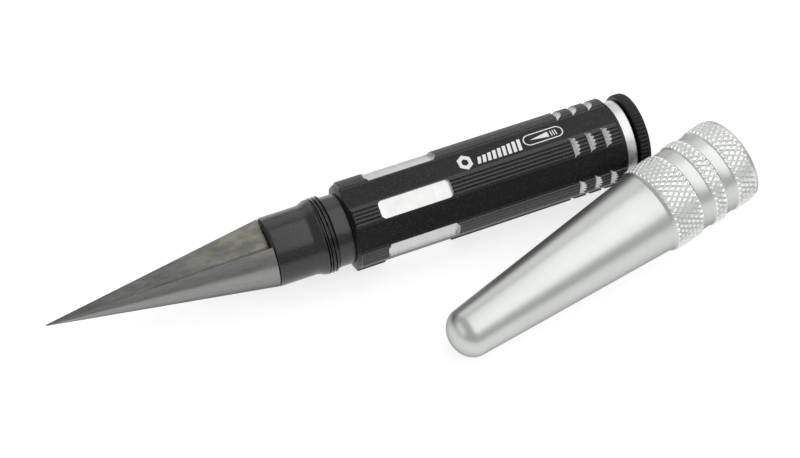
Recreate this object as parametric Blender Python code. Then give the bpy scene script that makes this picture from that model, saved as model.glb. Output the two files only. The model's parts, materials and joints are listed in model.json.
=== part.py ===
"""Taper hand reamer, 0-14 mm, with its threaded storage cap lying beside it.

Every piece is its own object. Metres, +Z up, the surface that both lie on is z = 0.
The tool is drawn along its own axis, tip first, and laid down by a parent empty; so is the cap.
"""

from math import cos, pi, radians, sin, sqrt

import bmesh
import bpy
from mathutils import Matrix, Vector

MM = 0.001

# Clearance where one turned piece seats against the next.
SEAT_GAP = 0.2 * MM

# Where the two halves lie: a point on each axis, its heading about +Z and its rise, in degrees.
TOOL_TIP = Vector((-0.06648, 0.02788, 0.00886))
TOOL_HEADING = -13.18
CAP_NOSE = Vector((-0.00434, -0.01888, 0.004737))
CAP_HEADING = 0.0
CAP_RISE = 5.234

# Stations along the tool, from its tip.
BLADE_END = 45.3 * MM
COLLAR_FRONT = 45.5 * MM
COLLAR_FLARE = 53.8 * MM
THREAD_START = 55.5 * MM
THREAD_END = 57.9 * MM
HANDLE_FRONT = 61.2 * MM
HANDLE_REAR = 120.4 * MM
BAND_REAR = 122.8 * MM
DISC_FRONT = 123.2 * MM
DISC_REAR = 125.7 * MM

# Blade: a cone with one flute and a round shank.
TIP_RADIUS = 0.15 * MM
BLADE_RADIUS = 7.0 * MM
SHANK_RADIUS = 4.0 * MM
SHANK_END = 73.0 * MM
SHANK_CHAMFER = 0.5 * MM
FLUTE_TURN = 37.0
FLUTE_DEPTH = 2.6 * MM
FLUTE_SIDE = 0.7 * MM
FLUTE_LEAN = 0.52
FLUTE_APEX = -1.0 * MM
FLUTE_REAR = BLADE_END + 0.6 * MM

# Collar: the threaded neck that holds the blade and takes the cap.
COLLAR_RADIUS = 7.1 * MM
COLLAR_EDGE = 0.25 * MM
THREAD_TURNS = 3
THREAD_RADIUS = 7.8 * MM
THREAD_PITCH = 0.75 * MM
THREAD_DEPTH = 0.45 * MM
RELIEF_RADIUS = 7.25 * MM
SPIGOT_RADIUS = 5.5 * MM
SPIGOT_END = 75.5 * MM
COLLAR_BORE = 4.25 * MM

# Handle: six ribbed lands with flats between them.
LAND_RADIUS = 9.4 * MM
LAND_HALF = 1.72 * MM
FLAT_DISTANCE = 8.6 * MM
RIBS = 5
RIB_GROOVE = 0.22 * MM
FRONT_BORE = 5.75 * MM
THROUGH_BORE = 4.6 * MM
REAR_BORE = 6.45 * MM
REAR_BORE_FRONT = 114.6 * MM
SLOT_FRONT = 67.3 * MM
SLOT_REAR = 82.6 * MM
SLOT_HALF = 1.85 * MM
SLOT_FLOOR = 8.57 * MM
SLOT_CORNER = 0.9 * MM
NOTCH_WALLS = (109.0 * MM, 112.5 * MM, 116.0 * MM)
NOTCH_FLOOR = 8.4 * MM
NOTCH_HOLLOW = 8.0 * MM
NOTCH_HALF = 3.2 * MM
NOTCH_LENGTH = 1.5 * MM
NOTCH_REACH = 4.0 * MM
NOTCH_TOP = 16.0 * MM
FRONT_CHAMFER = 7.85 * MM
FRONT_CHAMFER_LENGTH = 0.65 * MM
REAR_CHAMFER = 7.9 * MM
REAR_CHAMFER_LENGTH = 1.35 * MM
LAND_TURNS = [30.0 + 60.0 * k for k in range(6)]

# Set screw under the handle that clamps the shank.
SCREW_STATION = 70.0 * MM
SCREW_TURN = 180.0
SCREW_RADIUS = 1.9 * MM
SCREW_HOLE = 2.2 * MM
SCREW_INNER = 3.75 * MM
SCREW_OUTER = 8.2 * MM
SCREW_POINT = 1.1 * MM
SCREW_SOCKET = 1.15 * MM
SCREW_SOCKET_DEPTH = 2.2 * MM
SCREW_HOLE_REACH = 12.0 * MM
SHANK_FLAT = 3.55 * MM
SHANK_FLAT_CUT = (2.5 * MM, 5.0 * MM, 2.0 * MM)

# Rear sleeve and the ball bearing that the end disc turns on.
BAND_RADIUS = 7.9 * MM
BAND_EDGE = 0.2 * MM
SLEEVE_RADIUS = 6.2 * MM
SLEEVE_FRONT = 115.4 * MM
SLEEVE_BORE = 4.75 * MM
SLEEVE_MOUTH = 3.4 * MM
RING_GROOVE = (116.3 * MM, 117.3 * MM)
RING_GROOVE_DEPTH = 0.45 * MM
BEARING_FRONT = 117.6 * MM
BEARING_REAR = 121.6 * MM
RACE_OUTER = 4.5 * MM
RACE_OUTER_SHOULDER = 3.7 * MM
RACE_OUTER_TRACK = 4.0 * MM
RACE_INNER = 2.0 * MM
RACE_INNER_SHOULDER = 2.75 * MM
RACE_INNER_TRACK = 2.5 * MM
TRACK_HALF = 0.75 * MM
TRACK_FLOOR_HALF = 0.4 * MM
BALL_CIRCLE = 3.25 * MM
BALL_RADIUS = 0.6 * MM
BALLS = 7
CAGE_INNER = 3.02 * MM
CAGE_OUTER = 3.42 * MM
CAGE_FRONT = -1.3 * MM
CAGE_REAR = 0.3 * MM
POCKET_GAP = 0.15 * MM
SHIELD_INNER = 2.9 * MM
SHIELD_OUTER = 3.58 * MM
SHIELD_THICK = 0.25 * MM
SHIELD_INSET = 0.1 * MM
SNAP_INNER = 3.9 * MM
SNAP_OUTER = 5.0 * MM
SNAP_OPENING = 50.0

# End disc, the screw it turns on and the washer between it and the bearing.
DISC_RADIUS = 8.75 * MM
DISC_TEETH = 64
DISC_TOOTH = 0.16 * MM
DISC_HOLE = 1.95 * MM
DISC_HOLE_END = 124.9 * MM
PIVOT_HEAD = (115.9 * MM, 117.3 * MM)
PIVOT_HEAD_RADIUS = 2.6 * MM
PIVOT_RADIUS = 1.7 * MM
PIVOT_END = 124.6 * MM
PIVOT_EDGE = 0.3 * MM
PIVOT_SOCKET = 1.25 * MM
PIVOT_SOCKET_END = 117.0 * MM
WASHER = (121.8 * MM, 123.0 * MM)

# Cap, from its nose to its open rim.
CAP_CONE_START = 4.3 * MM
CAP_CONE_END = 48.8 * MM
CAP_LENGTH = 70.4 * MM
CAP_NOSE_RADIUS = 5.15 * MM
CAP_CONE_RADIUS = 8.65 * MM
CAP_BAND_RADIUS = 9.3 * MM
CAP_GROOVE_RADIUS = 8.93 * MM
CAP_GROOVES = ((56.1 * MM, 59.1 * MM), (62.2 * MM, 65.0 * MM))
CAP_BORE = 7.45 * MM
CAP_BORE_FRONT = 54.0 * MM
CAP_MOUTH = 8.05 * MM
CAP_THREAD_DEPTH = 0.35 * MM
CAP_THREAD_INSET = 1.6 * MM
# The hollow's front end, from the narrow end of its taper to its blind tip.
CAP_HOLLOW = ((6.0 * MM, 3.7 * MM), (3.6 * MM, 1.6 * MM), (3.2 * MM, 0.0))

ROUND = 40
SMALL_ROUND = 20
FINE_ROUND = 60
HEXAGON = 6


def clear_scene():
    for item in list(bpy.data.objects):
        bpy.data.objects.remove(item, do_unlink=True)


def metal(name, colour, roughness, metallic):
    material = bpy.data.materials.new(name)
    material.use_nodes = True
    shader = material.node_tree.nodes["Principled BSDF"]
    shader.inputs["Base Color"].default_value = (*colour, 1.0)
    shader.inputs["Roughness"].default_value = roughness
    shader.inputs["Metallic"].default_value = metallic
    return material


def ground_steel(name):
    return metal(name, (0.52, 0.51, 0.49), 0.32, 1.0)


def black_anodised(name):
    return metal(name, (0.03, 0.03, 0.032), 0.42, 0.4)


def bare_aluminium(name):
    return metal(name, (0.80, 0.80, 0.79), 0.30, 1.0)


def satin_aluminium(name):
    return metal(name, (0.66, 0.67, 0.68), 0.38, 0.9)


def bright_steel(name):
    return metal(name, (0.62, 0.62, 0.63), 0.18, 1.0)


def brass(name):
    return metal(name, (0.72, 0.53, 0.25), 0.3, 1.0)


def dark_steel(name):
    return metal(name, (0.12, 0.12, 0.12), 0.45, 0.8)


def axis_empty(name, start, heading, rise):
    """An empty whose +Z runs along the piece and whose +X is as near to up as it can be."""
    turn, lift = radians(heading), radians(rise)
    along = Vector((cos(lift) * cos(turn), cos(lift) * sin(turn), sin(lift)))
    up = Vector((-sin(lift) * cos(turn), -sin(lift) * sin(turn), cos(lift)))
    side = along.cross(up)
    empty = bpy.data.objects.new(name, None)
    bpy.context.scene.collection.objects.link(empty)
    empty.matrix_world = Matrix.Translation(start) @ Matrix((up, side, along)).transposed().to_4x4()
    return empty


def piece(name, mesh, parent, material=None, smooth=True):
    """Close a bmesh into an object that rides on its empty."""
    bmesh.ops.remove_doubles(mesh, verts=mesh.verts, dist=1e-7)
    bmesh.ops.recalc_face_normals(mesh, faces=mesh.faces)
    data = bpy.data.meshes.new(name)
    mesh.to_mesh(data)
    mesh.free()
    item = bpy.data.objects.new(name, data)
    bpy.context.scene.collection.objects.link(item)
    item.parent = parent
    if material is not None:
        data.materials.append(material(name))
    if smooth:
        data.shade_smooth()
    return item


def cutter(name, mesh, parent):
    item = piece(name, mesh, parent, smooth=False)
    item.hide_render = True
    item.display_type = "WIRE"
    return item


def boolean(item, tool, operation="DIFFERENCE"):
    step = item.modifiers.new(tool.name, "BOOLEAN")
    step.operation = operation
    step.solver = "EXACT"
    step.object = tool


def lathe(profile, steps=ROUND):
    """Turn a closed outline of (station, radius) points about the axis."""
    mesh = bmesh.new()
    points = [mesh.verts.new((radius, 0.0, station)) for station, radius in profile]
    edges = []
    for first, second in zip(points, points[1:] + points[:1]):
        if first.co.x > 1e-9 or second.co.x > 1e-9:
            edges.append(mesh.edges.new((first, second)))
    bmesh.ops.spin(
        mesh,
        geom=points + edges,
        cent=(0.0, 0.0, 0.0),
        axis=(0.0, 0.0, 1.0),
        angle=2.0 * pi,
        steps=steps,
        use_merge=True,
    )
    return mesh


def extrusion(outline, start, end):
    """A straight bar of a closed (x, y) outline."""
    mesh = bmesh.new()
    face = mesh.faces.new([mesh.verts.new((x, y, start)) for x, y in outline])
    grown = bmesh.ops.extrude_face_region(mesh, geom=[face])["geom"]
    moved = [part for part in grown if isinstance(part, bmesh.types.BMVert)]
    bmesh.ops.translate(mesh, verts=moved, vec=(0.0, 0.0, end - start))
    return mesh


def rod(radius, start, end, steps=SMALL_ROUND):
    return lathe([(start, 0.0), (start, radius), (end, radius), (end, 0.0)], steps)


def ring(inner, outer, start, end, steps=ROUND):
    return lathe([(start, inner), (start, outer), (end, outer), (end, inner)], steps)


def turned(mesh, degrees):
    """Turn a mesh about the axis, from up towards the side."""
    bmesh.ops.rotate(mesh, verts=mesh.verts, matrix=Matrix.Rotation(radians(degrees), 3, "Z"))
    return mesh


def radial(mesh, station, degrees):
    """Stand a mesh drawn along the axis on a radius at a station."""
    bmesh.ops.rotate(mesh, verts=mesh.verts, matrix=Matrix.Rotation(radians(90.0), 3, "Y"))
    bmesh.ops.translate(mesh, verts=mesh.verts, vec=(0.0, 0.0, station))
    return turned(mesh, degrees)


def joined(meshes):
    """One bmesh from several that don't touch."""
    whole = bmesh.new()
    for mesh in meshes:
        data = bpy.data.meshes.new("step")
        mesh.to_mesh(data)
        mesh.free()
        whole.from_mesh(data)
        bpy.data.meshes.remove(data)
    return whole


def blade(axis):
    """The ground cone, its one flute and the shank that the collar holds."""
    outline = [
        (0.0, 0.0),
        (0.0, TIP_RADIUS),
        (BLADE_END, BLADE_RADIUS),
        (BLADE_END, SHANK_RADIUS),
        (SHANK_END - SHANK_CHAMFER, SHANK_RADIUS),
        (SHANK_END, SHANK_RADIUS - SHANK_CHAMFER),
        (SHANK_END, 0.0),
    ]
    item = piece("reamer_blade", lathe(outline), axis, ground_steel)
    boolean(item, flute_cutter(axis))
    flat = extrusion([(-1.0, -1.0), (1.0, -1.0), (1.0, 1.0), (-1.0, 1.0)], 0.0, 1.0)
    bmesh.ops.scale(flat, verts=flat.verts, vec=SHANK_FLAT_CUT)
    bmesh.ops.translate(flat, verts=flat.verts, vec=(0.0, 0.0, SHANK_FLAT))
    boolean(item, cutter("shank_flat", radial(flat, SCREW_STATION, SCREW_TURN), axis))


def flute_cutter(axis):
    """A wedge that narrows to the tip: one side is the cutting face, the other the flute's floor."""
    far = 2.0 * BLADE_RADIUS
    section = [
        (FLUTE_DEPTH, -FLUTE_SIDE),
        (far, -FLUTE_SIDE),
        (far, -far),
        (FLUTE_DEPTH - FLUTE_LEAN * (far - FLUTE_SIDE), -far),
    ]
    mesh = bmesh.new()
    rings = []
    for station in (FLUTE_APEX + 0.05 * MM, FLUTE_REAR):
        size = (station - FLUTE_APEX) / (BLADE_END - FLUTE_APEX)
        rings.append([mesh.verts.new((x * size, y * size, station)) for x, y in section])
    mesh.faces.new(rings[0])
    mesh.faces.new(rings[1])
    for k in range(4):
        mesh.faces.new([rings[0][k], rings[0][k - 1], rings[1][k - 1], rings[1][k]])
    return cutter("flute", turned(mesh, FLUTE_TURN), axis)


def collar(axis):
    """The neck: plain cylinder, flare, three turns of thread, relief and the spigot in the handle."""
    outline = [
        (COLLAR_FRONT, COLLAR_BORE),
        (COLLAR_FRONT, COLLAR_RADIUS - COLLAR_EDGE),
        (COLLAR_FRONT + COLLAR_EDGE, COLLAR_RADIUS),
        (COLLAR_FLARE, COLLAR_RADIUS),
        (THREAD_START - 0.5 * MM, THREAD_RADIUS - 0.2 * MM),
    ]
    root = THREAD_RADIUS - THREAD_DEPTH
    for turn in range(THREAD_TURNS):
        start = THREAD_START + turn * THREAD_PITCH
        outline.append((start, THREAD_RADIUS))
        outline.append((start + 0.3 * THREAD_PITCH, THREAD_RADIUS))
        outline.append((start + 0.65 * THREAD_PITCH, root))
    outline += [
        (THREAD_END, RELIEF_RADIUS),
        (HANDLE_FRONT - SEAT_GAP, RELIEF_RADIUS),
        (HANDLE_FRONT - SEAT_GAP, SPIGOT_RADIUS),
        (SPIGOT_END, SPIGOT_RADIUS),
        (SPIGOT_END, COLLAR_BORE),
    ]
    item = piece("front_collar", lathe(outline), axis, black_anodised)
    hole = radial(rod(SCREW_HOLE, 0.0, SCREW_HOLE_REACH), SCREW_STATION, SCREW_TURN)
    boolean(item, cutter("collar_screw_hole", hole, axis))


def handle_outline():
    """Six lands of fine ribs, each standing a little above the flats beside it."""
    shoulder = (FLAT_DISTANCE - LAND_HALF * sin(radians(30.0))) / cos(radians(30.0))
    pitch = 2.0 * LAND_HALF / (RIBS - 0.45)
    crest = 0.55 * pitch
    across = [(-LAND_HALF, shoulder)]
    for rib in range(RIBS):
        left = -LAND_HALF + rib * pitch
        right = left + crest
        for side in (left, right):
            across.append((side, sqrt(LAND_RADIUS**2 - side**2)))
        if rib < RIBS - 1:
            for side in (right + 0.12 * pitch, left + pitch - 0.12 * pitch):
                across.append((side, sqrt(LAND_RADIUS**2 - side**2) - RIB_GROOVE))
    across.append((LAND_HALF, shoulder))
    outline = []
    for degrees in LAND_TURNS:
        turn = radians(degrees)
        for side, out in across:
            outline.append((out * cos(turn) - side * sin(turn), out * sin(turn) + side * cos(turn)))
    return outline


def slot_outline():
    """A rectangle with round corners, along the handle and across a land."""
    half = (SLOT_REAR - SLOT_FRONT) / 2.0
    points = []
    corners = ((1, 1, 0), (-1, 1, 90), (-1, -1, 180), (1, -1, 270))
    for along, across, start in corners:
        for step in range(5):
            turn = radians(start + 22.5 * step)
            x = along * (half - SLOT_CORNER) + SLOT_CORNER * cos(turn)
            y = across * (SLOT_HALF - SLOT_CORNER) + SLOT_CORNER * sin(turn)
            points.append((x, y))
    return points


def slot_cutters(axis):
    station = (SLOT_FRONT + SLOT_REAR) / 2.0
    meshes = []
    for degrees in LAND_TURNS:
        mesh = extrusion(slot_outline(), SLOT_FLOOR, SLOT_FLOOR + 3.0 * MM)
        meshes.append(radial(mesh, station, degrees))
    return cutter("land_slots", joined(meshes), axis)


def notch(wall, degrees):
    """A hollow-bottomed cut, deepest at its front wall, that runs out towards the rear."""
    climb = (LAND_RADIUS - NOTCH_FLOOR) / NOTCH_LENGTH
    mesh = bmesh.new()
    rims = []
    for run in (0.0, NOTCH_REACH):
        rim = [mesh.verts.new((NOTCH_TOP, -NOTCH_HALF, wall + run))]
        for step in range(9):
            y = NOTCH_HALF * (step / 4.0 - 1.0)
            hollow = NOTCH_HOLLOW - sqrt(NOTCH_HOLLOW**2 - y**2)
            rim.append(mesh.verts.new((NOTCH_FLOOR + hollow + climb * run, y, wall + run)))
        rim.append(mesh.verts.new((NOTCH_TOP, NOTCH_HALF, wall + run)))
        rims.append(rim)
        mesh.faces.new(rim)
    for k in range(len(rims[0])):
        mesh.faces.new([rims[0][k], rims[0][k - 1], rims[1][k - 1], rims[1][k]])
    return turned(mesh, degrees)


def handle(axis):
    item = piece(
        "handle",
        extrusion(handle_outline(), HANDLE_FRONT, HANDLE_REAR),
        axis,
        black_anodised,
        smooth=False,
    )
    clear = LAND_RADIUS + 0.6 * MM
    beyond = 0.4 * MM
    front_slope = (LAND_RADIUS - FRONT_CHAMFER) / FRONT_CHAMFER_LENGTH
    rear_slope = (LAND_RADIUS - REAR_CHAMFER) / REAR_CHAMFER_LENGTH
    envelope = [
        (HANDLE_FRONT - beyond, FRONT_BORE),
        (HANDLE_FRONT - beyond, FRONT_CHAMFER - beyond * front_slope),
        (HANDLE_FRONT + (clear - FRONT_CHAMFER) / front_slope, clear),
        (HANDLE_REAR - (clear - REAR_CHAMFER) / rear_slope, clear),
        (HANDLE_REAR + beyond, REAR_CHAMFER - beyond * rear_slope),
        (HANDLE_REAR + beyond, REAR_BORE),
        (REAR_BORE_FRONT, REAR_BORE),
        (REAR_BORE_FRONT, THROUGH_BORE),
        (SPIGOT_END + 0.5 * MM, THROUGH_BORE),
        (SPIGOT_END + 0.5 * MM, FRONT_BORE),
    ]
    boolean(item, cutter("handle_turning", lathe(envelope, FINE_ROUND), axis), "INTERSECT")
    boolean(item, slot_cutters(axis))
    for number, wall in enumerate(NOTCH_WALLS, 1):
        notches = joined([notch(wall, degrees) for degrees in LAND_TURNS])
        boolean(item, cutter(f"notches_{number}", notches, axis))
    hole = radial(rod(SCREW_HOLE, 0.0, SCREW_HOLE_REACH), SCREW_STATION, SCREW_TURN)
    boolean(item, cutter("handle_screw_hole", hole, axis))


def set_screw(axis):
    body = [
        (SCREW_INNER, 0.0),
        (SCREW_INNER, SCREW_POINT),
        (SCREW_INNER + SCREW_RADIUS - SCREW_POINT, SCREW_RADIUS),
        (SCREW_OUTER - 0.3 * MM, SCREW_RADIUS),
        (SCREW_OUTER, SCREW_RADIUS - 0.3 * MM),
        (SCREW_OUTER, 0.0),
    ]
    item = piece("shank_set_screw", radial(lathe(body, 24), SCREW_STATION, SCREW_TURN), axis, dark_steel)
    socket = rod(SCREW_SOCKET, SCREW_OUTER - SCREW_SOCKET_DEPTH, SCREW_OUTER + 1.0 * MM, HEXAGON)
    boolean(item, cutter("set_screw_socket", radial(socket, SCREW_STATION, SCREW_TURN), axis))


def rear_sleeve(axis):
    """The bright band behind the handle, with the bearing seat inside its spigot."""
    outline = [
        (SLEEVE_FRONT, SLEEVE_BORE),
        (SLEEVE_FRONT, SLEEVE_RADIUS),
        (HANDLE_REAR + SEAT_GAP, SLEEVE_RADIUS),
        (HANDLE_REAR + SEAT_GAP, BAND_RADIUS),
        (BAND_REAR - BAND_EDGE, BAND_RADIUS),
        (BAND_REAR, BAND_RADIUS - BAND_EDGE),
        (BAND_REAR, SLEEVE_MOUTH),
        (BEARING_REAR + SEAT_GAP, SLEEVE_MOUTH),
        (BEARING_REAR + SEAT_GAP, SLEEVE_BORE),
        (RING_GROOVE[1], SLEEVE_BORE),
        (RING_GROOVE[1], SLEEVE_BORE + RING_GROOVE_DEPTH),
        (RING_GROOVE[0], SLEEVE_BORE + RING_GROOVE_DEPTH),
        (RING_GROOVE[0], SLEEVE_BORE),
    ]
    piece("bearing_sleeve", lathe(outline), axis, bare_aluminium)


def bearing(axis):
    """A miniature ball bearing: two grooved rings, a crown cage, seven balls and two shields."""
    middle = (BEARING_FRONT + BEARING_REAR) / 2.0
    outer = [
        (BEARING_FRONT, RACE_OUTER_SHOULDER),
        (BEARING_FRONT, RACE_OUTER),
        (BEARING_REAR, RACE_OUTER),
        (BEARING_REAR, RACE_OUTER_SHOULDER),
        (middle + TRACK_HALF, RACE_OUTER_SHOULDER),
        (middle + TRACK_FLOOR_HALF, RACE_OUTER_TRACK),
        (middle - TRACK_FLOOR_HALF, RACE_OUTER_TRACK),
        (middle - TRACK_HALF, RACE_OUTER_SHOULDER),
    ]
    piece("bearing_outer_ring", lathe(outer, SMALL_ROUND), axis, bright_steel)
    inner = [
        (BEARING_FRONT, RACE_INNER),
        (BEARING_FRONT, RACE_INNER_SHOULDER),
        (middle - TRACK_HALF, RACE_INNER_SHOULDER),
        (middle - TRACK_FLOOR_HALF, RACE_INNER_TRACK),
        (middle + TRACK_FLOOR_HALF, RACE_INNER_TRACK),
        (middle + TRACK_HALF, RACE_INNER_SHOULDER),
        (BEARING_REAR, RACE_INNER_SHOULDER),
        (BEARING_REAR, RACE_INNER),
    ]
    piece("bearing_inner_ring", lathe(inner, SMALL_ROUND), axis, bright_steel)
    places = []
    for number in range(BALLS):
        turn = 2.0 * pi * number / BALLS
        place = Vector((BALL_CIRCLE * cos(turn), BALL_CIRCLE * sin(turn), middle))
        places.append(place)
        ball = bmesh.new()
        bmesh.ops.create_icosphere(ball, subdivisions=2, radius=BALL_RADIUS)
        bmesh.ops.translate(ball, verts=ball.verts, vec=place)
        piece(f"bearing_ball_{number + 1}", ball, axis, bright_steel)
    cage = piece(
        "bearing_cage",
        ring(CAGE_INNER, CAGE_OUTER, middle + CAGE_FRONT, middle + CAGE_REAR, 28),
        axis,
        brass,
    )
    pockets = []
    for place in places:
        pocket = bmesh.new()
        bmesh.ops.create_icosphere(pocket, subdivisions=2, radius=BALL_RADIUS + POCKET_GAP)
        bmesh.ops.translate(pocket, verts=pocket.verts, vec=place)
        pockets.append(pocket)
    boolean(cage, cutter("cage_pockets", joined(pockets), axis))
    rear_start = BEARING_REAR - SHIELD_INSET - SHIELD_THICK
    for name, start in (("front", BEARING_FRONT + SHIELD_INSET), ("rear", rear_start)):
        piece(
            f"bearing_shield_{name}",
            ring(SHIELD_INNER, SHIELD_OUTER, start, start + SHIELD_THICK, SMALL_ROUND),
            axis,
            bright_steel,
        )


def retaining_ring(axis):
    """A split ring sprung into the sleeve's groove in front of the bearing."""
    front, rear = RING_GROOVE[0] + SEAT_GAP, RING_GROOVE[1] - SEAT_GAP
    steps = 24
    outline = []
    for radius, order in ((SNAP_OUTER, range(steps + 1)), (SNAP_INNER, range(steps, -1, -1))):
        for step in order:
            turn = radians(SNAP_OPENING / 2.0 + (360.0 - SNAP_OPENING) * step / steps)
            outline.append((radius * cos(turn), radius * sin(turn)))
    piece("retaining_ring", extrusion(outline, front, rear), axis, dark_steel, smooth=False)


def end_disc(axis):
    """The straight-knurled cap that stays still in the palm while the handle turns."""
    blank = [
        (DISC_FRONT, 0.0),
        (DISC_FRONT, DISC_RADIUS - 0.5 * MM),
        (DISC_FRONT + 0.15 * MM, DISC_RADIUS - 0.15 * MM),
        (DISC_FRONT + 0.5 * MM, DISC_RADIUS),
        (DISC_REAR - 1.0 * MM, DISC_RADIUS),
        (DISC_REAR - 0.5 * MM, DISC_RADIUS - 0.13 * MM),
        (DISC_REAR - 0.13 * MM, DISC_RADIUS - 0.5 * MM),
        (DISC_REAR, DISC_RADIUS - 1.0 * MM),
        (DISC_REAR, 0.0),
    ]
    outline = []
    for tooth in range(DISC_TEETH):
        for part, radius in ((0.0, 0.0), (0.4, 0.0), (0.7, DISC_TOOTH)):
            turn = 2.0 * pi * (tooth + part) / DISC_TEETH
            outline.append(((DISC_RADIUS - radius) * cos(turn), (DISC_RADIUS - radius) * sin(turn)))
    item = piece(
        "swivel_disc",
        extrusion(outline, DISC_FRONT - 1.0 * MM, DISC_REAR + 1.0 * MM),
        axis,
        black_anodised,
        smooth=False,
    )
    boolean(item, cutter("disc_turning", lathe(blank, FINE_ROUND), axis), "INTERSECT")
    hole = rod(DISC_HOLE, DISC_FRONT - 1.0 * MM, DISC_HOLE_END)
    boolean(item, cutter("disc_screw_hole", hole, axis))


def pivot(axis):
    """The screw through the bearing and the washer that keeps the disc off the band."""
    front, rear = PIVOT_HEAD
    screw = [
        (front, 0.0),
        (front, PIVOT_HEAD_RADIUS - PIVOT_EDGE),
        (front + PIVOT_EDGE, PIVOT_HEAD_RADIUS),
        (rear, PIVOT_HEAD_RADIUS),
        (rear, PIVOT_RADIUS),
        (PIVOT_END - PIVOT_EDGE, PIVOT_RADIUS),
        (PIVOT_END, PIVOT_RADIUS - PIVOT_EDGE),
        (PIVOT_END, 0.0),
    ]
    item = piece("pivot_screw", lathe(screw, SMALL_ROUND), axis, bright_steel)
    socket = rod(PIVOT_SOCKET, front - 0.9 * MM, PIVOT_SOCKET_END, HEXAGON)
    boolean(item, cutter("pivot_screw_socket", socket, axis))
    washer = ring(RACE_INNER, RACE_INNER_SHOULDER, *WASHER, SMALL_ROUND)
    piece("spacer_washer", washer, axis, bright_steel)


def cap(axis):
    """The turned storage cap: round nose, long cone, three knurled bands and a threaded mouth."""
    outline = [(0.0, 0.0)]
    for step in range(1, 6):
        turn = radians(90.0 * step / 5)
        outline.append((CAP_CONE_START * (1.0 - cos(turn)), CAP_NOSE_RADIUS * sin(turn)))
    outline.append((CAP_CONE_END, CAP_CONE_RADIUS))
    outline.append((CAP_CONE_END + 0.8 * MM, CAP_BAND_RADIUS))
    for start, end in CAP_GROOVES:
        outline += [
            (start, CAP_BAND_RADIUS),
            (start + 0.3 * MM, CAP_GROOVE_RADIUS),
            (end - 0.3 * MM, CAP_GROOVE_RADIUS),
            (end, CAP_BAND_RADIUS),
        ]
    outline += [
        (CAP_LENGTH - 0.8 * MM, CAP_BAND_RADIUS),
        (CAP_LENGTH - 0.25 * MM, CAP_BAND_RADIUS - 0.25 * MM),
        (CAP_LENGTH, CAP_BAND_RADIUS - 0.8 * MM),
        (CAP_LENGTH, CAP_MOUTH),
    ]
    root = CAP_MOUTH
    crest = CAP_MOUTH - CAP_THREAD_DEPTH
    for turn in range(THREAD_TURNS):
        start = CAP_LENGTH - CAP_THREAD_INSET - turn * THREAD_PITCH
        outline += [
            (start, root),
            (start - 0.35 * THREAD_PITCH, crest),
            (start - 0.6 * THREAD_PITCH, crest),
        ]
    outline += [
        (CAP_LENGTH - 4.4 * MM, root),
        (CAP_LENGTH - 5.5 * MM, root),
        (CAP_LENGTH - 6.1 * MM, CAP_BORE),
        (CAP_BORE_FRONT, CAP_BORE),
        *CAP_HOLLOW,
    ]
    piece("storage_cap", lathe(outline), axis, satin_aluminium)


def main():
    clear_scene()
    tool_axis = axis_empty("tool_axis", TOOL_TIP, TOOL_HEADING, 0.0)
    cap_axis = axis_empty("cap_axis", CAP_NOSE, CAP_HEADING, CAP_RISE)
    blade(tool_axis)
    collar(tool_axis)
    handle(tool_axis)
    set_screw(tool_axis)
    rear_sleeve(tool_axis)
    bearing(tool_axis)
    retaining_ring(tool_axis)
    end_disc(tool_axis)
    pivot(tool_axis)
    cap(cap_axis)


main()
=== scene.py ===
"""Looks for the taper hand reamer and its storage cap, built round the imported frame."""

import json
from math import asin, atan2, cos, pi, radians, sin, sqrt, tan

import bmesh
import bpy
from mathutils import Matrix, Vector


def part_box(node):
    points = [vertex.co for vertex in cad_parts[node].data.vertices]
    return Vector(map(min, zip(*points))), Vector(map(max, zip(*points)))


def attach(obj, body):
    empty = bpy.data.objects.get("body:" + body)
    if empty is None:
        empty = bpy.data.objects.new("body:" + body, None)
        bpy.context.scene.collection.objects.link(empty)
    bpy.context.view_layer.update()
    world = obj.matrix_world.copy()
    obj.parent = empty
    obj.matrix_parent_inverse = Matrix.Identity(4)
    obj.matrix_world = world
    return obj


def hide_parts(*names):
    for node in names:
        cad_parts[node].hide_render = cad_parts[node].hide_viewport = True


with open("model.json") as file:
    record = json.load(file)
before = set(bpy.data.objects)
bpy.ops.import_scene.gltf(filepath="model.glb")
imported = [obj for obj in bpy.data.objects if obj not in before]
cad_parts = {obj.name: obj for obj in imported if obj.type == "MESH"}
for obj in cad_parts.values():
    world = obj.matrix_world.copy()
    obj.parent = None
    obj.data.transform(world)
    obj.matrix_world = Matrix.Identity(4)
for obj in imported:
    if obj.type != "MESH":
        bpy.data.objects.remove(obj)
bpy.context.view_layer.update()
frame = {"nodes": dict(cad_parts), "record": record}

MM = 0.001
UP = Vector((0.0, 0.0, 1.0))

# The tool's axis comes from its swivel joint and the cap's from its own solid.
SWIVEL = next(joint for joint in frame["record"]["behaviour"]["joints"] if joint["name"] == "disc_swivel")
SWIVEL_STATION_MM = 119.6
ALONG = Vector(SWIVEL["axis"]).normalized()
TIP = Vector(SWIVEL["pos_m"]) - ALONG * SWIVEL_STATION_MM * MM
CAP_RISE = radians(5.234)
CAP_NOSE_HEIGHT = 4.737 * MM
CAP_LOW, CAP_HIGH = (Vector(corner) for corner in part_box("storage_cap"))
CAP_ALONG = Vector((cos(CAP_RISE), 0.0, sin(CAP_RISE)))
CAP_NOSE = Vector((CAP_LOW.x, (CAP_LOW.y + CAP_HIGH.y) / 2.0, CAP_NOSE_HEIGHT))

# Stations along the tool, counted from the cone's tip as in the solids.
BLADE_END = 45.3 * MM
COLLAR_FRONT = 45.5 * MM
HANDLE_FRONT = 61.2 * MM
SPIGOT_END = 75.5 * MM
SHANK_END = 73.0 * MM
HANDLE_REAR = 120.4 * MM
BAND_REAR = 122.8 * MM
DISC_FRONT = 123.2 * MM
DISC_REAR = 125.7 * MM

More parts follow.
